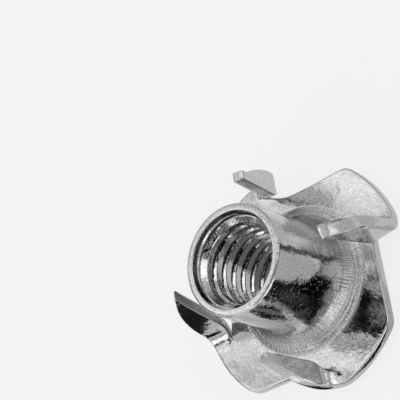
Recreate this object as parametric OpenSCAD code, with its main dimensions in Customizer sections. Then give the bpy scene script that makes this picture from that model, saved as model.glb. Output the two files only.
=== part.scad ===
// Four-prong tee nut, pressed from one round piece of sheet steel.
// The nut stands on the rim round its threaded hole, with the barrel pointing up.
// Four straight cuts run in from the edge of the flange. On one side of each cut the metal
// stays flat as a petal. On the other side it is rolled up into a pointed prong.

/* [Sheet] */
// Thickness of the steel sheet
sheet_t = 1.2; // [0.9:0.1:1.6]

/* [Flange] */
// Diameter of the round flange before its prongs are rolled up
flange_d = 25.4; // [21.1:0.1:30.6]
// Height of the petals' outer face above the rim that the nut stands on
dish_h = 0.8; // [0.5:0.1:1.2]
// Radius of the fillet between the barrel and the flange
root_r = 3; // [1.5:0.1:3.6]

/* [Barrel] */
// Outer diameter of the barrel
barrel_d = 11.8; // [9.8:0.1:14.2]
// Height of the nut from the rim to the barrel's open end
nut_h = 13.8; // [9:0.1:18]
// Width of the flat lip round the barrel's open end
lip_w = 0.45; // [0.3:0.05:0.7]
// Chamfer round the outside of that lip
lip_chamfer = 0.2; // [0.1:0.05:0.4]

/* [Threaded hole] */
// Inner diameter of the thread, which is the diameter of the bore
bore_d = 8; // [6.6:0.1:9.6]
// Depth of the countersink that leads from the lip to the thread
countersink_h = 1; // [0.6:0.1:1.4]
// Depth and width of the small chamfer at the flange end of the thread
throat_w = 0.95; // [0.6:0.05:1.2]
// Width of the rounded flare between that chamfer and the rim
flare_w = 1.25; // [0.9:0.05:1.3]
// Radius of the flare
flare_r = 1.34; // [1.32:0.02:1.8]

/* [Prongs] */
// Number of prongs
prong_count = 4; // [3:1:4]
// Width of a prong at its widest
prong_w = 3.25; // [2.7:0.05:3.9]
// Height of a prong's point above the petals' outer face
prong_h = 10.3; // [8.5:0.1:12.4]
// Angle that a prong is rolled up through
prong_roll = 81; // [75:1:95]
// Inner radius of the roll
roll_r = 1.2; // [1:0.1:1.8]
// How far the prongs' curved edge is trimmed inside the flange's round outline
prong_trim = 0.25; // [0.1:0.05:0.5]
// Width of the cut between a prong and the next petal
slit_w = 0.15; // [0.1:0.05:0.3]

/* [Hidden] */
$fn = 96;
over = 1;                                   // how far a cutter runs past what it cuts
rim_land = 0.1;                             // half the flat width of the rim's crest
rim_edge_r = 0.35;                          // rounding of the rim's outer edge
rim_step = 0.2;                             // height at which the dish's underside starts, inside the rim
slit_clear = 0.55;                          // least distance from the root fillet to a slit
dish_clear = 0.1;                           // distance from the dished middle to a slit
neutral = 0.45;                             // part of the sheet's thickness where bending keeps its length
bend_steps = 18;                            // flats that a prong's bend is drawn with

flange_r = flange_d / 2;
barrel_r = barrel_d / 2;
bore_r = bore_d / 2;
mouth_r = barrel_r - lip_chamfer - lip_w;
throat_r = bore_r + throat_w;
rim_r = throat_r + flare_w;
petal_top = dish_h + sheet_t;

// The flare's arc is tangent to the floor at the rim's crest and ends at this height at the throat
throat_z = flare_r - sqrt(pow(flare_r, 2) - pow(flare_w, 2));

// A slit lies on a line slit_r from the axis, and runs half_chord from there to the petal's corner.
// first_corner is that corner's angle round the axis.
slit_r = flange_r - prong_w;
half_chord = sqrt(pow(flange_r, 2) - pow(slit_r, 2));
first_corner = asin(slit_r / flange_r);
fillet_r = min(root_r, slit_r - barrel_r - slit_clear);
dish_r = slit_r - dish_clear;

// A rolled prong is a bend, as long as its neutral line, and a straight blade.
// Laid flat, its point is where the slit meets the prongs' outline, and it folds at fold_x.
outline_r = flange_r - prong_trim;
bend_out_r = roll_r + sheet_t;
bend_len = (roll_r + neutral * sheet_t) * prong_roll * PI / 180;
blade_len = (prong_h - bend_out_r * (1 - cos(prong_roll))) / sin(prong_roll);
fold_x = sqrt(pow(outline_r, 2) - pow(slit_r, 2)) - bend_len - blade_len;

// Half section of the flange, dish, rim and barrel: radius across, height up
module nut_section() {
    difference() {
        union() {
            barrel_wall();
            translate([bore_r, dish_h]) square([flange_r - bore_r, sheet_t]);
            root_fillet();
            dished_middle();
            rim_bead();
        }
        translate([-over, -over]) square([bore_r + over, nut_h + 2 * over]);
        countersink();
        throat_chamfer();
    }
}

module barrel_wall() {
    polygon([
        [bore_r, throat_z],
        [barrel_r, throat_z],
        [barrel_r, nut_h - lip_chamfer],
        [barrel_r - lip_chamfer, nut_h],
        [bore_r, nut_h]
    ]);
}

// Inside corner between the barrel and the flange, filled up to a quarter circle
module root_fillet() {
    difference() {
        translate([barrel_r - over, petal_top - sheet_t / 2])
            square([fillet_r + over, fillet_r + sheet_t / 2]);
        translate([barrel_r + fillet_r, petal_top + fillet_r]) circle(fillet_r);
    }
}

// Middle of the flange, which slopes down from the petals to the rim
module dished_middle() {
    polygon([
        [rim_r, rim_step],
        [dish_r, dish_h],
        [dish_r, petal_top],
        [rim_r, petal_top]
    ]);
}

// Rolled rim round the threaded hole: a flare inside, a narrow land and a rounded outer edge
module rim_bead() {
    intersection() {
        translate([rim_r, flare_r]) circle(flare_r);
        translate([bore_r, 0]) square([rim_r - bore_r, petal_top]);
    }
    translate([rim_r - rim_land, 0]) square([2 * rim_land, petal_top]);
    translate([rim_r + rim_land, rim_edge_r]) circle(rim_edge_r);
}

// Cone that leads a screw in from the barrel's open end
module countersink() {
    polygon([
        [bore_r - over, nut_h - countersink_h],
        [bore_r, nut_h - countersink_h],
        [mouth_r, nut_h],
        [mouth_r, nut_h + over],
        [bore_r - over, nut_h + over]
    ]);
}

// Cone that leads a screw in from the flange
module throat_chamfer() {
    polygon([
        [bore_r - over, throat_z],
        [throat_r, throat_z],
        [bore_r, throat_z + throat_w],
        [bore_r - over, throat_z + throat_w]
    ]);
}

// Places its children at each slit: X runs along it to the petal's corner, Y points away from the axis
module at_each_slit() {
    for (i = [0 : prong_count - 1])
        rotate(i * 360 / prong_count)
            translate([0, slit_r, 0])
                children();
}

// The piece of flange that a prong is rolled up from
module prong_blank() {
    translate([fold_x, 0, dish_h - over])
        cube([half_chord - fold_x + over, prong_w + over, sheet_t + 2 * over]);
}

// Points of an arc about the bend's centre, from the flat sheet below it to the rolled-up blade
function bend_arc(r) = [
    for (i = [0 : bend_steps])
        let (a = prong_roll * i / bend_steps) [r * sin(a), -r * cos(a)]
];

// A point of the blade: so far along it from the bend, and so far from the bend's centre
function blade_point(x, r) = [
    x * cos(prong_roll) + r * sin(prong_roll),
    x * sin(prong_roll) - r * cos(prong_roll)
];

function reversed(list) = [for (i = [len(list) - 1 : -1 : 0]) list[i]];

// Side view of a prong, about the centre of its bend: the round bend and the straight blade
module prong_profile() {
    polygon(concat(
        bend_arc(bend_out_r),
        [blade_point(blade_len, bend_out_r), blade_point(blade_len, roll_r)],
        reversed(bend_arc(roll_r))
    ));
}

// The rolled strip, before it gets the outline of a prong
module prong_strip() {
    strip_w = prong_w + over;
    translate([fold_x, slit_w + strip_w, dish_h + bend_out_r])
        rotate([90, 0, 0])
            linear_extrude(strip_w) prong_profile();
}

// The prongs' round outline, laid in the plane of the rolled-up blade
module rolled_outline() {
    translate([fold_x, 0, dish_h + bend_out_r])
        rotate([0, -prong_roll, 0])
            translate([-fold_x - bend_len, -slit_r, -bend_out_r - over])
                cylinder(r = outline_r, h = bend_out_r + 3 * over);
}

// One prong: the rolled strip, cut to its round outline
module prong() {
    intersection() {
        prong_strip();
        rolled_outline();
    }
}

// The finished nut, turned so that a petal's corner lies on the X axis
module tee_nut() {
    color([0.82, 0.83, 0.84]) rotate(-first_corner) union() {
        difference() {
            rotate_extrude() nut_section();
            at_each_slit() prong_blank();
        }
        at_each_slit() prong();
    }
}

tee_nut();
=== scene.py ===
import math

import bpy
from mathutils import Matrix, Vector


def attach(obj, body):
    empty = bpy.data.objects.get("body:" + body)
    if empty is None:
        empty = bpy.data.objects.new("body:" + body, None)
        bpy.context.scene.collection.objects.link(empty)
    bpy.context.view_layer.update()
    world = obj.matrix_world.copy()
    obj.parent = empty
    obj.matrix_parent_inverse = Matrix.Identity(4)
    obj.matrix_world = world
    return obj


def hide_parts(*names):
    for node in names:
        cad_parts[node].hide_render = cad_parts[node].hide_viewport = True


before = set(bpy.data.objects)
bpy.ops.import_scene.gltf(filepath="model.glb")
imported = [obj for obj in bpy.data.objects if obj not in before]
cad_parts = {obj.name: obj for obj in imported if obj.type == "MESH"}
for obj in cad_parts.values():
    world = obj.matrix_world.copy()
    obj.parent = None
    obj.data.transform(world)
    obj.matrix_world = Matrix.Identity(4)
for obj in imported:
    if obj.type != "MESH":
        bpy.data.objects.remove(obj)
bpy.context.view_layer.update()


mm = 0.001


# small helpers for working on a piece

def workOn(*pieces):
    # only these are selected, the last one is active
    bpy.ops.object.select_all(action="DESELECT")
    for piece in pieces:
        piece.select_set(True)
    bpy.context.view_layer.objects.active = pieces[-1]


def readyToPick(piece, selectMode):
    # nothing is selected, and what code selects next is of this kind
    workOn(piece)
    bpy.ops.object.mode_set(mode="EDIT")
    bpy.ops.mesh.select_mode(type=selectMode)
    bpy.ops.mesh.select_all(action="DESELECT")
    bpy.ops.object.mode_set(mode="OBJECT")


def pickFaces(piece, test):
    readyToPick(piece, "FACE")
    verts = piece.data.vertices
    for face in piece.data.polygons:
        face.select = test([verts[i].co / mm for i in face.vertices])
    bpy.ops.object.mode_set(mode="EDIT")


def leaveEdit():
    bpy.ops.object.mode_set(mode="OBJECT")


def weld(piece, gap):
    workOn(piece)
    bpy.ops.object.mode_set(mode="EDIT")
    bpy.ops.mesh.select_all(action="SELECT")
    bpy.ops.mesh.remove_doubles(threshold=gap)
    bpy.ops.mesh.normals_make_consistent(inside=False)
    leaveEdit()


def finishWith(piece, kind, **settings):
    workOn(piece)
    bpy.ops.object.modifier_add(type=kind)
    modifier = piece.modifiers[-1]
    for key, value in settings.items():
        setattr(modifier, key, value)
    bpy.ops.object.modifier_apply(modifier=modifier.name)


def joinAs(name, *pieces):
    workOn(*pieces)
    bpy.ops.object.join()
    piece = bpy.context.object
    piece.name = name
    piece.data.name = name
    return piece


def laidGrid(cols, rows, place):
    # a grid whose squares are laid where place(column, row) says, in mm
    bpy.ops.mesh.primitive_grid_add(x_subdivisions=cols, y_subdivisions=rows, size=2)
    piece = bpy.context.object
    for vert in piece.data.vertices:
        col = round((vert.co.x + 1) / 2 * cols)
        row = round((vert.co.y + 1) / 2 * rows)
        vert.co = Vector(place(col, row)) * mm
    return piece


def smoothStep(x):
    x = min(max(x, 0.0), 1.0)
    return x * x * (3 - 2 * x)


def mixed(a, b, share):
    return tuple(p + (q - p) * share for p, q in zip(a, b))


# the pressed sheet: flange and four rolled prongs

sheet = dict(
    thickness=1.2, flangeR=12.7,
    slitR=9.45,                        # distance of a cut's line from the axis
    hubR=9.0,                          # where the flange joins the hub
    dishR=9.35, dishZ=0.8,             # the dish ends here, this far above the rim
    rimR=6.2, rimZ=0.2,                # and the dish's slope, run on to the rim, would end here
    rollR=1.65,                        # inner radius of a prong's roll
    cornerRise=0.3,                    # how far a petal's corner stands up
    riseFrom=9.1, riseOver=3.6,        # from this radius outwards
    riseStart=-36, riseIn=30,          # between these degrees from the corner, fading in and out
    riseEnd=56, riseOut=40,
    edgeHold=0.42,                     # how far in the loop lies that keeps the edges crisp
    tearHold=(0.7, 0.5),               # shares of that along and across a cut, beside its end
    topCrease=0.5, underCrease=0.35,   # the underside's edges are the rounder ones
    insetLeast=0.6,                    # cosine that keeps the loop from running out at a sharp corner
    foldCells=4, arcCells=8, slitCells=10, rowShares=(0.0, 0.5),
    stripRows=22, foldLead=0.35,       # a prong's strip starts this far before its fold
    kerf=0.12, kerfOver=0.6,           # width of the cut, and how soon it is reached
    tearLength=3.2,                    # over which a cut curves outwards before its end
    rootShare=0.6,                     # of a prong's width, over which its root runs back to its fold
    strayLength=3.0,                   # over which a prong's outline leaves the flange's
    hubLag=105.7,                      # degrees from a cut's frame to the hub's first column
)

# each prong is a little different: where it folds along its cut, its outline's radius, roll angle,
# lean of its fold line, turn about the axis, sink below the petals, how much its point lacks and
# how wide it ends, how far its arc edge bulges, how much thicker it grew, where its cut tore out
prongs = [
    dict(name="A", turn=0, foldX=-3.26, outlineR=12.26, roll=80.8, lean=0.5, swing=-2.3, sink=0.0,
         blunt=0.85, tipWidth=1.05, bulge=-0.12, thick=1.0, tearX=-2.6, tearY=1.1),
    dict(name="C", turn=90, foldX=-3.44, outlineR=12.52, roll=80.6, lean=1.3, swing=-0.9, sink=0.0,
         blunt=0.1, tipWidth=0.16, bulge=0.0, thick=1.0, tearX=-2.5, tearY=0.6),
    dict(name="D", turn=180, foldX=-2.44, outlineR=12.23, roll=76.0, lean=5.5, swing=-2.5, sink=0.0,
         blunt=0.7, tipWidth=0.3, bulge=0.0, thick=1.0, tearX=-1.9, tearY=1.5),
    dict(name="B", turn=-90, foldX=-2.33, outlineR=12.95, roll=83.5, lean=4.0, swing=3.0, sink=0.3,
         blunt=0.0, tipWidth=0.4, bulge=0.4, thick=1.28, tearX=-2.5, tearY=0.2),
]
foldRow = [0.0, 0.16, 0.5, 0.84, 1.0]                # places across a prong's width
halfChord = math.sqrt(sheet["flangeR"] ** 2 - sheet["slitR"] ** 2)
cornerAngle = math.atan2(sheet["slitR"], halfChord)  # of a petal's corner, in its cut's own frame
colsPerPetal = sheet["foldCells"] + sheet["arcCells"] + sheet["slitCells"]


def slitPoint(prong, x, y):
    # from a cut's own frame (x along the cut, y outwards) to the nut's, flat
    a = math.radians(prong["turn"]) - cornerAngle
    px, py = x, y + sheet["slitR"]
    return (px * math.cos(a) - py * math.sin(a), px * math.sin(a) + py * math.cos(a))


def stripStart(prong):
    return prong["foldX"] - sheet["foldLead"]


def stripTip(prong):
    return math.sqrt(prong["outlineR"] ** 2 - sheet["slitR"] ** 2) - prong["blunt"]


def outlineAt(prong, x):
    # radius of the blank's outline over a prong, where it strays a little from the flange's
    start = stripStart(prong)
    share = (x - start) / (stripTip(prong) - start)
    swell = -prong["bulge"] * math.sin(2 * math.pi * share) if 0 < share < 1 else 0
    strayed = smoothStep((x - start) / sheet["strayLength"])
    return sheet["flangeR"] + (prong["outlineR"] - sheet["flangeR"]) * strayed + swell


def outlineY(prong, x):
    return math.sqrt(outlineAt(prong, x) ** 2 - x * x) - sheet["slitR"]


def cutY(prong, x):
    # the cut runs straight, and tears outwards just before it ends
    return prong["tearY"] * (1 - smoothStep((x - prong["tearX"]) / sheet["tearLength"]))


def startX(prong, share):
    # the strip starts at the tear's end on one side and just before the fold on the other
    return prong["tearX"] + (stripStart(prong) - prong["tearX"]) * smoothStep(share / sheet["rootShare"])


def startPoint(prong, share):
    x = startX(prong, share)
    low = cutY(prong, prong["tearX"])
    return slitPoint(prong, x, low + share * (outlineY(prong, x) - low))


def petalEdge(start, end):
    # outline of one petal, from the root of the prong before it to the root of the next one's cut
    points = [startPoint(start, share) for share in foldRow]
    first = math.atan2(points[-1][1], points[-1][0])
    corner = slitPoint(end, halfChord, 0)
    last = math.atan2(corner[1], corner[0])
    while last < first:
        last += 2 * math.pi
    for i in range(1, sheet["arcCells"] + 1):
        a = first + (last - first) * i / sheet["arcCells"]
        points.append((sheet["flangeR"] * math.cos(a), sheet["flangeR"] * math.sin(a)))
    for i in range(1, sheet["slitCells"] + 1):
        x = halfChord + (end["tearX"] - halfChord) * i / sheet["slitCells"]
        points.append(slitPoint(end, x, cutY(end, x)))
    return points


def insetLine(points, distance):
    # the same line, moved inwards
    moved = []
    count = len(points)
    for i, p in enumerate(points):
        normals = []
        for a, b in ((i - 1, i), (i, i + 1)):
            if 0 <= a and b < count:
                dx, dy = points[b][0] - points[a][0], points[b][1] - points[a][1]
                length = math.hypot(dx, dy)
                normals.append((-dy / length, dx / length))
        nx, ny = sum(n[0] for n in normals), sum(n[1] for n in normals)
        length = math.hypot(nx, ny)
        nx, ny = nx / length, ny / length
        miter = 1 / max(sheet["insetLeast"], nx * normals[0][0] + ny * normals[0][1])
        moved.append((p[0] + nx * distance * miter, p[1] + ny * distance * miter))
    return moved


def besideTear(prong):
    # held point next to a cut's end, shared by the petals on both sides
    along, across = (part * sheet["edgeHold"] for part in sheet["tearHold"])
    return slitPoint(prong, prong["tearX"] - along, prong["tearY"] - across)


def hubStart(prong):
    # the hub's columns start at this angle after a prong's cut
    return math.radians(prong["turn"]) - cornerAngle + math.radians(sheet["hubLag"])


def makePetal(start, end):
    outer = petalEdge(start, end)
    held = insetLine(outer, sheet["edgeHold"])
    held[0], held[-1] = besideTear(start), besideTear(end)

    def place(col, row):
        a = hubStart(start) + math.pi / 2 * col / colsPerPetal
        inner = (sheet["hubR"] * math.cos(a), sheet["hubR"] * math.sin(a))
        if row == 3:
            spot = outer[col]
        elif row == 2:
            spot = held[col]
        else:
            spot = mixed(inner, held[col], sheet["rowShares"][row])
        return (*spot, 0)

    return laidGrid(colsPerPetal, 3, place)


def makeStrip(prong):
    # the flat strip that becomes a prong, out to its point
    tipX = stripTip(prong)

    def place(col, row):
        share = foldRow[col]
        if row == 0:
            return (*startPoint(prong, share), 0)
        x0 = startX(prong, share)
        x = x0 + (tipX - x0) * row / sheet["stripRows"]
        low = cutY(prong, x) + sheet["kerf"] * smoothStep((x - x0) / sheet["kerfOver"])
        high = max(outlineY(prong, x), low + prong["tipWidth"])
        return (*slitPoint(prong, x, low + (high - low) * share), 0)

    strip = laidGrid(sheet["foldCells"], sheet["stripRows"], place)
    group = strip.vertex_groups.new(name="prong" + prong["name"])
    group.add(range(len(strip.data.vertices)), 1, "REPLACE")
    return strip


def undersideAt(r):
    # the petals' underside, and the dish from there down towards the rim
    share = (r - sheet["rimR"]) / (sheet["dishR"] - sheet["rimR"])
    return sheet["rimZ"] + (sheet["dishZ"] - sheet["rimZ"]) * min(share, 1.0)


def pressFlat(x, y, h):
    # the flange: its petals are flat, and each one's corner stands up a little
    r = math.hypot(x, y)
    z = undersideAt(r) if h < 0.5 * sheet["thickness"] else sheet["dishZ"] + sheet["thickness"]
    # turn from the petal's own corner; the four lie at 0, 90, 180 and 270 degrees
    turn = (math.degrees(math.atan2(y, x)) + 90 - sheet["riseEnd"]) % 90 - 90 + sheet["riseEnd"]
    fadeIn = smoothStep((turn - sheet["riseStart"]) / sheet["riseIn"])
    fadeOut = smoothStep((sheet["riseEnd"] - turn) / sheet["riseOut"])
    rise = sheet["cornerRise"] * smoothStep((r - sheet["riseFrom"]) / sheet["riseOver"]) * fadeIn * fadeOut
    return (x, y, z + rise)


# a prong reaches its own thickness, and its own turn and sink, over these lengths past the fold
prongFlow = dict(thicken=4.0, settle=3.0)


def pressProng(prong, x, y, h):
    a = math.radians(prong["turn"]) - cornerAngle
    c, s = math.cos(-a), math.sin(-a)
    sx, sy = x * c - y * s, x * s + y * c - sheet["slitR"]   # in the cut's frame
    lean = math.radians(prong["lean"])
    # along: distance past the fold, across: distance from the cut
    dx = sx - prong["foldX"]
    along = dx * math.cos(lean) + sy * math.sin(lean)
    across = -dx * math.sin(lean) + sy * math.cos(lean)
    t, inner, roll = sheet["thickness"], sheet["rollR"], math.radians(prong["roll"])
    middle = inner + 0.5 * t
    h *= 1 + (prong["thick"] - 1) * smoothStep(along / prongFlow["thicken"])
    if along > 0:
        turned = min(along / middle, roll)
        rest = max(along - middle * roll, 0)
        reach = inner + t - h
        forward = reach * math.sin(turned) + rest * math.cos(roll)
        up = inner + t - reach * math.cos(turned) + rest * math.sin(roll)
    else:
        forward, up = along, h
    fx = prong["foldX"] + forward * math.cos(lean) - across * math.sin(lean)
    fy = forward * math.sin(lean) + across * math.cos(lean)
    flow = smoothStep(along / prongFlow["settle"])
    ny, nx = fy + sheet["slitR"], fx
    a += math.radians(prong["swing"]) * flow
    px, py = nx * math.cos(a) - ny * math.sin(a), nx * math.sin(a) + ny * math.cos(a)
    return (px, py, sheet["dishZ"] + up - prong["sink"] * flow)


# vertices this close become one, in mm: in the sheet, in the hub, and where the two join;
# and one this close to the hub's circle lies on it
seam = dict(sheet=0.004, hub=0.002, both=0.02, circle=0.01)

print("pressing the sheet")
blanks = [makePetal(prongs[i], prongs[(i + 1) % 4]) for i in range(4)]
blanks += [makeStrip(prong) for prong in prongs]
blank = joinAs("teeNut", *blanks)
weld(blank, seam["sheet"] * mm)
finishWith(blank, "SOLIDIFY", thickness=sheet["thickness"] * mm, offset=0)
mid = sum(v.co.z for v in blank.data.vertices) / len(blank.data.vertices)
for vert in blank.data.vertices:
    vert.co.z = sheet["thickness"] * mm if vert.co.z > mid else 0

# the wall round the hub's circle goes, because the hub joins on there
onHub = lambda p: abs(math.hypot(p.x, p.y) - sheet["hubR"]) < seam["circle"]
pickFaces(blank, lambda corners: all(onHub(p) for p in corners))
bpy.ops.mesh.delete(type="FACE")
leaveEdit()

# outline edges have a flat face on one side and the wall on the other
wallFaces = {}
for face in blank.data.polygons:
    for key in face.edge_keys:
        wallFaces.setdefault(key, []).append(abs(face.normal.z) < 0.5)
outlineKeys = {key for key, walls in wallFaces.items() if len(walls) == 2 and walls[0] != walls[1]}


def creaseEdges(piece, keys, top, value):
    readyToPick(piece, "EDGE")
    verts = piece.data.vertices
    for edge in piece.data.edges:
        high = all(verts[i].co.z > 0.5 * sheet["thickness"] * mm for i in edge.vertices)
        edge.select = edge.key in keys and high == top
    bpy.ops.object.mode_set(mode="EDIT")
    bpy.ops.transform.edge_crease(value=value)
    leaveEdit()


creaseEdges(blank, outlineKeys, True, sheet["topCrease"])
creaseEdges(blank, outlineKeys, False, sheet["underCrease"])

groupOf = {group.index: prong for group, prong in
           ((blank.vertex_groups["prong" + p["name"]], p) for p in prongs)}
for vert in blank.data.vertices:
    x, y, z = vert.co / mm
    prong = next((groupOf[g.group] for g in vert.groups if g.group in groupOf), None)
    vert.co = Vector(pressProng(prong, x, y, z) if prong else pressFlat(x, y, z)) * mm
blank.vertex_groups.clear()

# the hub: fillet, barrel, lip, hole, rim and dish, listed in the order they have in its section

hub = dict(
    # the die left a crisp corner and a small step: radius and height above the petals' top
    step=((8.2, 0), (7.95, -0.005), (7.84, 0), (7.78, 0.02), (7.5, 0.125),
          (7.45, 0.15), (7.4, 0.2), (7.34, 0.23), (7.1, 0.325)),
    filletR=3.0, filletTall=3.8,                           # a round that was drawn out upwards
    filletFoot=0.33, filletTurns=(38, 43, 49, 57, 66, 76, 86),
    barrelR=5.9, barrelRows=(6.0, 9.6, 13.2), height=13.8,
    outerEdge=((0, -0.26), (-0.05, -0.08), (-0.2, 0)),     # steps from the barrel's sharp corner
    lipIn=5.14,
    innerEdge=((0.08, 0), (0.01, -0.01), (-0.04, -0.06)),  # and from the lip's inner one
    mouth=((5.04, 13.45), (4.98, 13.2), (4.81, 13.0)),     # radius and height, down to the bore
    boreR=4.78, boreRows=(12.8, 8.0, 1.6, 1.1),
    throat=(4.81, 0.99),
    flareR=1.34, flareTurns=(-68, -52, -36, -20, -6),      # round that leads out to the rim
    landEnd=0.08, rimLand=0.1,                             # flat that the nut stands on
    rimEdge=0.35, edgeTurns=(25, 50, 72),                  # and its outer round
    dishRows=(6.68, 6.9, 8.2),
)


def hubSection():
    top, height = sheet["dishZ"] + sheet["thickness"], hub["height"]
    points = [(sheet["hubR"], top)]
    points += [(r, top + up) for r, up in hub["step"]]
    across, tall = hub["filletR"], hub["filletTall"]
    turns = [math.radians(deg) for deg in hub["filletTurns"]]
    centreR = hub["barrelR"] + across
    centreZ = top + hub["filletFoot"] + tall * math.cos(turns[0])
    points += [(centreR - across * math.sin(a), centreZ - tall * math.cos(a)) for a in turns]
    points += [(hub["barrelR"], z) for z in hub["barrelRows"]]
    points += [(hub["barrelR"] + out, height + up) for out, up in hub["outerEdge"]]
    points += [(hub["lipIn"] + out, height + up) for out, up in hub["innerEdge"]]
    points += hub["mouth"]
    points += [(hub["boreR"], z) for z in hub["boreRows"]]
    points.append(hub["throat"])
    rimR, flareR, edgeR = sheet["rimR"], hub["flareR"], hub["rimEdge"]
    for a in [math.radians(deg) for deg in hub["flareTurns"]]:
        points.append((rimR + flareR * math.sin(a), flareR * (1 - math.cos(a))))
    points.append((rimR + hub["landEnd"], 0.0))
    for a in [math.radians(deg) for deg in hub["edgeTurns"]]:
        points.append((rimR + hub["rimLand"] + edgeR * math.sin(a), edgeR * (1 - math.cos(a))))
    points += [(r, undersideAt(r)) for r in (*hub["dishRows"], sheet["hubR"])]
    return points


print("turning the hub")
section = hubSection()
bpy.ops.mesh.primitive_circle_add(vertices=len(section), radius=1)
turned = bpy.context.object
startAngle = hubStart(prongs[0])
for vert, (r, z) in zip(turned.data.vertices, section):
    vert.co = Vector((r * math.cos(startAngle), r * math.sin(startAngle), z)) * mm

# the circle's closing edge goes, because the sheet joins on between its ends
last = len(section) - 1
readyToPick(turned, "EDGE")
for edge in turned.data.edges:
    edge.select = set(edge.vertices) == {0, last}
bpy.ops.object.mode_set(mode="EDIT")
bpy.ops.mesh.delete(type="EDGE")
bpy.ops.mesh.select_all(action="SELECT")
bpy.ops.mesh.spin(steps=4 * colsPerPetal, angle=2 * math.pi, center=(0, 0, 0), axis=(0, 0, 1))
leaveEdit()
weld(turned, seam["hub"] * mm)

nut = joinAs("teeNut", turned, blank)
weld(nut, seam["both"] * mm)
finishWith(nut, "SUBSURF", levels=2, render_levels=2)
workOn(nut)
bpy.ops.object.shade_smooth()

# the thread: one ridge wound up through the hole

thread = dict(
    pitch=1.5875, crestR=4.12, rootR=4.72,
    foot=0.75, crest=0.4,                        # half widths of the ridge
    edge=0.05, edgeSlant=0.03,                   # chamfer of the ridge's crest
    buried=0.35,                                 # how far its foot reaches into the wall
    start=-1.06, turns=10, steps=96,
    fadeFrom=12.2, fadeOver=0.8, sunkBy=1.1,     # below the mouth the ridge sinks into the wall
    insideR=5.5,                                 # and stays within it
    topCut=13.62, lowCut=0.5,                    # its ends are cut off level
    throatR=(5.45, 3.65), throatZ=(0.36, 2.16),  # and a cone opens it towards the flange
    cutterR=9.0, cutterZ=(-4.0, 20.0),           # how far the cutters reach past the ridge
    sharpest=20,                                 # degrees between faces, past which an edge shows
)


def sinkRidge(ridge):
    for vert in ridge.data.vertices:
        x, y, z = vert.co / mm
        turn = math.atan2(y, x) / (2 * math.pi)
        # height of the ridge's middle at this vertex
        wound = turn + round((z - thread["start"]) / thread["pitch"] - turn)
        middle = thread["start"] + thread["pitch"] * wound
        sunk = thread["sunkBy"] * smoothStep((middle - thread["fadeFrom"]) / thread["fadeOver"])
        # the crest sinks by all of it, and what lies further out by less
        radius = math.hypot(x, y)
        share = (thread["insideR"] - radius) / (thread["insideR"] - thread["crestR"])
        wider = 1 + sunk * share / radius
        vert.co.x, vert.co.y = vert.co.x * wider, vert.co.y * wider


def makeThread():
    root, top, foot, crest = thread["rootR"], thread["crestR"], thread["foot"], thread["crest"]
    half = [(root + thread["buried"], foot), (root, foot),
            (top + thread["edge"], crest + thread["edgeSlant"]), (top, crest - thread["edge"])]
    profile = [(r, -z) for r, z in half] + half[::-1]
    bpy.ops.mesh.primitive_circle_add(vertices=len(profile), radius=1)
    ridge = bpy.context.object
    for vert, (r, z) in zip(ridge.data.vertices, profile):
        vert.co = Vector((r, 0, z + thread["start"])) * mm
    finishWith(ridge, "SCREW", angle=2 * math.pi, screw_offset=thread["pitch"] * mm, axis="Z",
               iterations=thread["turns"], steps=thread["steps"], render_steps=thread["steps"],
               use_smooth_shade=False)
    sinkRidge(ridge)
    # the ridge's two open ends are closed
    workOn(ridge)
    bpy.ops.object.mode_set(mode="EDIT")
    bpy.ops.mesh.select_all(action="DESELECT")
    bpy.ops.mesh.select_non_manifold()
    bpy.ops.mesh.fill()
    bpy.ops.mesh.select_all(action="SELECT")
    bpy.ops.mesh.normals_make_consistent(inside=False)
    leaveEdit()
    return ridge


def cutAway(piece, lowR, highR, lowZ, highZ):
    # takes a cone, or a cylinder, about the nut's axis out of the piece
    bpy.ops.mesh.primitive_cone_add(vertices=2 * thread["steps"], radius1=lowR * mm, radius2=highR * mm,
                                    depth=(highZ - lowZ) * mm, location=(0, 0, (lowZ + highZ) / 2 * mm))
    cone = bpy.context.object
    bpy.ops.object.transform_apply(location=True, rotation=True, scale=True)
    finishWith(piece, "BOOLEAN", operation="DIFFERENCE", object=cone, solver="EXACT")
    bpy.data.objects.remove(cone)


print("winding the thread")
ridge = makeThread()
cutAway(ridge, thread["cutterR"], thread["cutterR"], thread["topCut"], thread["cutterZ"][1])
cutAway(ridge, *thread["throatR"], *thread["throatZ"])
cutAway(ridge, thread["cutterR"], thread["cutterR"], thread["cutterZ"][0], thread["lowCut"])
workOn(ridge)
bpy.ops.object.shade_smooth_by_angle(angle=math.radians(thread["sharpest"]))
nut = joinAs("teeNut", ridge, nut)


# materials

def linearColour(hexText):
    # sRGB hex to linear
    channels = [int(hexText[i:i + 2], 16) / 255 for i in (1, 3, 5)]
    return (*[c / 12.92 if c <= 0.04045 else ((c + 0.055) / 1.055) ** 2.4 for c in channels], 1.0)


def addNode(tree, kind, settings=None, **inputs):
    # an input goes by its label or by its number, as in0; a node given for its value is linked
    # from its first output
    node = tree.nodes.new(kind)
    for key, value in (settings or {}).items():
        setattr(node, key, value)
    for key, value in inputs.items():
        socket = node.inputs[int(key[2:]) if key[2:].isdigit() else key.replace("_", " ")]
        if isinstance(value, bpy.types.Node):
            value = value.outputs[0]
        if isinstance(value, bpy.types.NodeSocket):
            tree.links.new(value, socket)
        else:
            socket.default_value = value
    return node


# settings of the sums that the node trees do
times, plus, less, largest = (dict(operation=name) for name in ("MULTIPLY", "ADD", "SUBTRACT", "MAXIMUM"))

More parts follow.
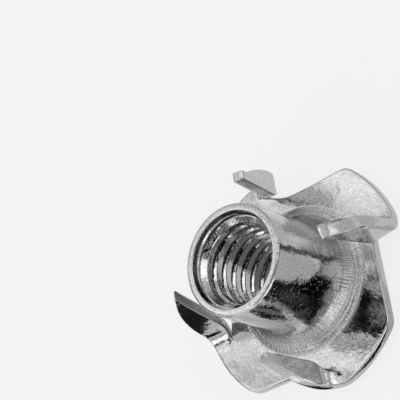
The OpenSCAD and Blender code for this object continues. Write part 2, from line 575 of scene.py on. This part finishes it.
# sizes and depths of the finish's marks in mm; round the nut they are counted over one radian,
# so that 34 of them are each 0.2 mm wide on the fillet
finish = dict(
    plating="#BEBFBE", darkening="#4B4742",                # bright zinc, and the darker colour mixed into its marks, painted shade along the drag marks
    waveSize=2.6, waveDepth=0.09,                     # slow waves the press left in the sheet
    peelSize=0.55, peelDepth=0.03,                    # orange peel of the bright plating
    pitSize=0.24, pitDepth=0.03, pitShare=0.12,       # small pits where the noise passes its middle by this
    pitRoughDepth=0.05,                               # deeper where the steel was stretched
    grainSize=0.16, grainDepth=0.003,                 # crystals that glitter, coarse enough to show
    streakCount=34, streakSize=2.2, streakDepth=0.09, # drag marks the die left down the fillet
    ringCount=1.2, ringSize=0.22, ringDepth=0.055,    # turned-looking rings round the fillet
    drawCount=22, drawSize=6.0, drawDepth=0.006,      # lengthwise draw marks on the barrel
    combCount=64, combSize=1.2,                       # the finest drag marks, along which shade is painted
    combFilm=0.75, drawFilm=0.75, filletFilm=0.4,     # painted shade: how much darker the colour grows in them,
    lipFilm=0.6, grainFilm=0.42,                      # and how much in the lip's pits and in the grain
    combRamp=(0.03, 0.17), lipRamp=(0.0, 0.1),        # noise at which it starts and is at its fullest
    grainRamp=(-0.02, 0.24),
    patchSize=1.8, duller=0.08, brighter=0.02,        # patches of roughness, and their range
    patchRamp=(-0.15, 0.2),                           # noise at which they are brightest and dullest
)

# where the marks lie: from and to radius with its fade, from and to height with its fade, in mm
zones = dict(
    fillet=(6.1, 8.0, 0.3, 1.6, 4.4, 0.4),
    drawn=(5.95, 6.9, 0.25, 2.5, 4.8, 0.4),
    barrel=(5.3, 6.4, 0.2, 3.5, 13.6, 0.4),
)
lipZone = (13.45, 20.0, 0.1)


def makeZinc():
    # bright zinc plated steel, pressed and then barrel plated: a mirror broken up by orange peel,
    # with drag marks and rings where the barrel was drawn out of the sheet
    material = bpy.data.materials.new("brightZincPlatedSteel")
    material.use_nodes = True
    tree = material.node_tree
    shader = tree.nodes["Principled BSDF"]
    shader.inputs["Metallic"].default_value = 1.0
    where = addNode(tree, "ShaderNodeTexCoord").outputs["Object"]

    def within(value, low, high, fade):
        # 1 between low and high, fading out over the last bit
        up = addNode(tree, "ShaderNodeMapRange", in0=value, in1=(low - fade) * mm, in2=(low + fade) * mm)
        down = addNode(tree, "ShaderNodeMapRange", in0=value, in1=(high - fade) * mm,
                       in2=(high + fade) * mm, in3=1.0, in4=0.0)
        return addNode(tree, "ShaderNodeMath", times, in0=up, in1=down)

    def speckle(place, scales, detail, rough=0.55):
        # noise about zero, with cells as many to the metre or the radian as the scales say
        scaled = addNode(tree, "ShaderNodeVectorMath", times, in0=place, in1=scales)
        noise = addNode(tree, "ShaderNodeTexNoise", Vector=scaled, Scale=1.0, Detail=detail,
                        Roughness=rough)
        return addNode(tree, "ShaderNodeMath", less, in0=noise, in1=0.5)

    def everyWay(name):
        return (1 / (finish[name + "Size"] * mm),) * 3

    def roundNut(name):
        return (finish[name + "Count"], finish[name + "Count"], 1 / (finish[name + "Size"] * mm))

    # direction from the axis with the radius or the height, so that marks can run round the nut or along it
    flat = addNode(tree, "ShaderNodeVectorMath", times, in0=where, in1=(1, 1, 0))
    radius = addNode(tree, "ShaderNodeVectorMath", dict(operation="LENGTH"), in0=flat).outputs["Value"]
    outward = addNode(tree, "ShaderNodeVectorMath", dict(operation="NORMALIZE"), in0=flat)
    x, y, _ = addNode(tree, "ShaderNodeSeparateXYZ", Vector=outward).outputs
    z = addNode(tree, "ShaderNodeSeparateXYZ", Vector=where).outputs["Z"]
    overRadius = addNode(tree, "ShaderNodeCombineXYZ", X=x, Y=y, Z=radius)
    overHeight = addNode(tree, "ShaderNodeCombineXYZ", X=x, Y=y, Z=z)

    def onZone(name):
        low, high, fade, lowZ, highZ, fadeZ = zones[name]
        return addNode(tree, "ShaderNodeMath", times, in0=within(radius, low, high, fade),
                       in1=within(z, lowZ, highZ, fadeZ))

    onFillet, onDraw, onBarrel = (onZone(name) for name in ("fillet", "drawn", "barrel"))
    onLip = within(z, *lipZone)
    stretched = addNode(tree, "ShaderNodeMath", largest, in0=onFillet, in1=onBarrel)
    stretched = addNode(tree, "ShaderNodeMath", largest, in0=stretched, in1=onLip)

    waves = speckle(where, everyWay("wave"), detail=1.0)
    peel = speckle(where, everyWay("peel"), detail=3.0)
    grain = speckle(where, everyWay("grain"), detail=2.0)
    pits = speckle(where, everyWay("pit"), detail=2.0)
    pits = addNode(tree, "ShaderNodeMath", less, in0=pits, in1=finish["pitShare"])
    pits = addNode(tree, "ShaderNodeMath", largest, in0=pits, in1=0.0)
    streaks = speckle(overRadius, roundNut("streak"), detail=4.0, rough=0.65)
    rings = speckle(overRadius, roundNut("ring"), detail=2.0)
    draw = speckle(overHeight, roundNut("draw"), detail=3.0)

    relief = (
        (waves, "wave", None), (grain, "grain", None), (pits, "pit", None), (pits, "pitRough", stretched),
        (streaks, "streak", onFillet), (rings, "ring", onFillet), (draw, "draw", onBarrel),
    )
    height = addNode(tree, "ShaderNodeMath", times, in0=peel, in1=finish["peelDepth"] * mm)
    for marks, name, mask in relief:
        part = addNode(tree, "ShaderNodeMath", times, in0=marks, in1=finish[name + "Depth"] * mm)
        if mask:
            part = addNode(tree, "ShaderNodeMath", times, in0=part, in1=mask)
        height = addNode(tree, "ShaderNodeMath", plus, in0=height, in1=part)
    bump = addNode(tree, "ShaderNodeBump", Height=height, Strength=1.0, Distance=1.0)
    tree.links.new(bump.outputs["Normal"], shader.inputs["Normal"])

    def darkeningIn(marks, name):
        # how much darker the colour grows in these marks
        start, full = finish[name + "Ramp"]
        return addNode(tree, "ShaderNodeMapRange", in0=marks, in1=start, in2=full,
                       in4=finish[name + "Film"])

    # painted shade: the colour is painted darker along the drag marks on the fillet and barrel, standing in
    # for the dark streaks they reflect; the lip's pits and flecks in the grain are darker too
    combed = speckle(overRadius, roundNut("comb"), detail=4.0, rough=0.6)
    lines = darkeningIn(combed, "comb")
    drawFilm = addNode(tree, "ShaderNodeMath", times, in0=onDraw, in1=finish["drawFilm"])
    filletFilm = addNode(tree, "ShaderNodeMath", times, in0=onFillet, in1=finish["filletFilm"])
    paintedDragShade = addNode(tree, "ShaderNodeMath", plus, in0=drawFilm, in1=filletFilm)
    paintedDragShade = addNode(tree, "ShaderNodeMath", times, in0=lines, in1=paintedDragShade)
    lipPits = addNode(tree, "ShaderNodeMath", times, in0=darkeningIn(pits, "lip"), in1=onLip)
    flecks = darkeningIn(grain, "grain")
    darkening = addNode(tree, "ShaderNodeMath", largest, in0=flecks, in1=lipPits)
    darkening = addNode(tree, "ShaderNodeMath", largest, in0=paintedDragShade, in1=darkening)
    tint = addNode(tree, "ShaderNodeMix", dict(data_type="RGBA"), in0=darkening,
                   in6=linearColour(finish["plating"]), in7=linearColour(finish["darkening"]))
    tree.links.new(tint.outputs[2], shader.inputs["Base Color"])

    patches = speckle(where, everyWay("patch"), detail=4.0)
    brightest, dullest = finish["patchRamp"]
    dull = addNode(tree, "ShaderNodeMapRange", in0=patches, in1=brightest, in2=dullest,
                   in3=finish["brighter"], in4=finish["duller"])
    tree.links.new(dull.outputs[0], shader.inputs["Roughness"])
    return material


print("plating the nut")
zinc = makeZinc()
nut.data.materials.clear()
nut.data.materials.append(zinc)
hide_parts("tee_nut")
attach(nut, "root")

# floor, light and camera

print("setting the studio")
studio = dict(
    floorSize=3000, floorColour="#F4F4F4",
    floorGlow=0.88,                          # share of the floor's own colour that camera and metal see
    daylight=0.7,                            # level of the light from all round
    lampDistance=450, cardDistance=430,      # the cards hang in front of the lamps
)

bpy.ops.mesh.primitive_plane_add(size=studio["floorSize"] * mm)
floor = bpy.context.object
floor.name = "floor"
floorMaterial = bpy.data.materials.new("paleFloor")
floorMaterial.use_nodes = True
floorTree = floorMaterial.node_tree
floorShader = floorTree.nodes["Principled BSDF"]
floorShader.inputs["Base Color"].default_value = linearColour(studio["floorColour"])
floorShader.inputs["Roughness"].default_value = 1.0
floorShader.inputs["Specular IOR Level"].default_value = 0.0
glow = addNode(floorTree, "ShaderNodeEmission", Color=linearColour(studio["floorColour"]), Strength=1.0)
path = addNode(floorTree, "ShaderNodeLightPath")
seen = addNode(floorTree, "ShaderNodeMath", largest, in0=path.outputs["Is Camera Ray"],
               in1=path.outputs["Is Glossy Ray"])
seen = addNode(floorTree, "ShaderNodeMath", largest, in0=seen, in1=path.outputs["Is Transmission Ray"])
share = addNode(floorTree, "ShaderNodeMath", times, in0=seen, in1=studio["floorGlow"])
blend = addNode(floorTree, "ShaderNodeMixShader", in0=share, in1=floorShader, in2=glow)
floorTree.links.new(blend.outputs[0], floorTree.nodes["Material Output"].inputs["Surface"])
floor.data.materials.append(floorMaterial)

world = bpy.data.worlds.new("studio")
bpy.context.scene.world = world
world.use_nodes = True
world.node_tree.nodes["Background"].inputs["Color"].default_value = (1.0, 1.0, 1.0, 1.0)
world.node_tree.nodes["Background"].inputs["Strength"].default_value = studio["daylight"]


def hungAt(azimuth, height, distance):
    # a place seen from the nut under these angles, and the turn that faces the nut
    a, e = math.radians(azimuth), math.radians(height)
    away = Vector((math.cos(a) * math.cos(e), math.sin(a) * math.cos(e), math.sin(e)))
    return away * distance * mm, away.to_track_quat("Z", "Y").to_euler()


def spread(wide, tall, distance):
    # width and height of what covers these angles
    return [2 * distance * mm * math.tan(math.radians(degrees / 2)) for degrees in (wide, tall)]


def softBox(name, azimuth, height, wide, tall, level, colour=(1.0, 1.0, 1.0)):
    # a lit panel, its size given by the angles it covers; level 1 is white
    bpy.ops.object.light_add(type="AREA")
    lamp = bpy.context.object
    lamp.name = name
    lamp.location, lamp.rotation_euler = hungAt(azimuth, height, studio["lampDistance"])
    lamp.data.shape = "RECTANGLE"
    lamp.data.size, lamp.data.size_y = spread(wide, tall, studio["lampDistance"])
    lamp.data.color = colour
    lamp.data.energy = level * math.pi * lamp.data.size * lamp.data.size_y


def greyCard(name, place, turn, wide, deep, level):
    # a card that only the metal sees; level 0 is black, 1 is white, and above that it shines
    bpy.ops.mesh.primitive_plane_add(size=1)
    card = bpy.context.object
    card.name = name
    card.location, card.rotation_euler = place, turn
    card.scale = (wide, deep, 1)
    shade = bpy.data.materials.new(name)
    shade.use_nodes = True
    tree = shade.node_tree
    cardGlow = addNode(tree, "ShaderNodeEmission", Color=(level, level, level, 1.0), Strength=1.0)
    tree.links.new(cardGlow.outputs[0], tree.nodes["Material Output"].inputs["Surface"])
    card.data.materials.append(shade)
    card.visible_camera = card.visible_shadow = card.visible_diffuse = False


def hungCard(name, azimuth, height, wide, tall, level):
    place, turn = hungAt(azimuth, height, studio["cardDistance"])
    greyCard(name, place, turn, *spread(wide, tall, studio["cardDistance"]), level)


def floorCard(name, x, y, wide, deep, turn, level, lift=0.1):
    # lies on the floor beside the nut, in mm
    greyCard(name, Vector((x, y, lift)) * mm, (0, 0, math.radians(turn)), wide * mm, deep * mm, level)


# where the panels and the cards hang: azimuth, elevation, width and height in degrees, then the level
softBox("leftBox", 125, 57, 60, 24, 0.6, (0.96, 0.97, 1.0))
softBox("stripBox", 112, 50, 12, 14, 0.4, (0.96, 0.97, 1.0))
softBox("topBox", 25, 72, 40, 16, 0.5)
softBox("highBox", 38, 51, 24, 15, 0.35)
softBox("rightBox", -48, 41, 20, 24, 0.5)
softBox("threadBox", -14, 59.5, 22, 15, 1.1)
softBox("lowBox", 187.5, 36, 32, 30, 1.3)
softBox("prongBox", -27, 34, 16, 12, 0.85)
softBox("frontBox", -110, 9, 30, 20, 1.3, (1.0, 0.98, 0.95))
softBox("edgeBox", -58, 20, 18, 12, 0.5)
softBox("cornerBox", -166, 66, 18, 11, 1.1)
softBox("ovalBox", 56, 32, 14, 14, 0.5)
softBox("filletBox", 153, 16, 18, 12, 0.8)
hungCard("lensCard", -92, 60, 40, 28, 0.005)
hungCard("cornerCard", -134, 46, 33, 19, 0.01)
hungCard("crownCard", -148, 58, 26, 13, 0.2)
hungCard("mouthCard", 168, 44, 12, 12, 0.2)
hungCard("upperCard", 157, 33, 12, 10, 0.15)
hungCard("underCard", -76, 42.5, 15, 8, 0.02)
hungCard("backCard", 25, 30, 30, 14, 0.25)
hungCard("shelfCard", 12, 13, 14, 12, 0.06)
hungCard("ringCard", 42, 21, 20, 16, 0.1)
hungCard("sideCard", 127, 21, 30, 40, 0.3)
hungCard("zenithCard", 130, 80, 18, 10, 0.03)
hungCard("dimCard", 84, 50, 9, 12, 0.85)

# where the other cards lie: place, width and depth in mm, turn in degrees, then the level;
# the shadow card at the nut's foot lies lower than the one it overlaps
# painted shadow: a dark card where the nut's own shadow falls on the floor, seen only in the metal
floorCard("nearShadowCard", -6.7, -15.5, 12, 6.5, -22, 0.02)
# painted shadow: a dark card for the nut's shadow beside its corner, seen only in the metal
floorCard("cornerShade", -12.6, -5.2, 6, 5.5, -15, 0.02)
floorCard("paleCard", -22.5, -11, 8, 9, 0, 1.5)
# painted shadow: a grey card for the nut's softer shadow on the floor in front of it
floorCard("footShadowCard", 5, -13.5, 15, 7, 8, 0.66, 0.05)
# painted shadow: a dark card for the shadowed floor under the nut's hole
floorCard("holeShadowCard", -2.2, -1.2, 6.5, 7, 0, 0.2)
floorCard("eastCard", 28, 6, 29, 48, 0, 0.74)
floorCard("whiteCard", -14.5, -36, 24, 26, 0, 2.0)
floorCard("frontCard", 15, -38, 26, 30, 20, 0.1)
floorCard("farCard", -18.7, 7.5, 8.7, 6, 0, 0.02)

# a long lens far away; spot in mm, lens in pixels of a frame 400 wide, and the view's own axes
camera = dict(spot=(21.178, -203.713, 258.248), pixels=3154.215, frameWidth=400, sensor=36,
              right=(0.368943, -0.691333, -0.62124), up=(0.927957, 0.311878, 0.204031),
              back=(0.052697, -0.65176, 0.756592))
bpy.ops.object.camera_add()
viewer = bpy.context.object
axes = Matrix((camera["right"], camera["up"], camera["back"])).transposed()
viewer.matrix_world = Matrix.Translation(Vector(camera["spot"]) * mm) @ axes.to_4x4()
viewer.data.sensor_fit = "HORIZONTAL"
viewer.data.sensor_width = camera["sensor"]
viewer.data.lens = camera["pixels"] / camera["frameWidth"] * camera["sensor"]
viewer.data.clip_start = 0.01
viewer.data.clip_end = 10
bpy.context.scene.camera = viewer
bpy.context.scene.view_settings.view_transform = "Standard"

print("triangles", sum(len(p.vertices) - 2 for p in nut.data.polygons))
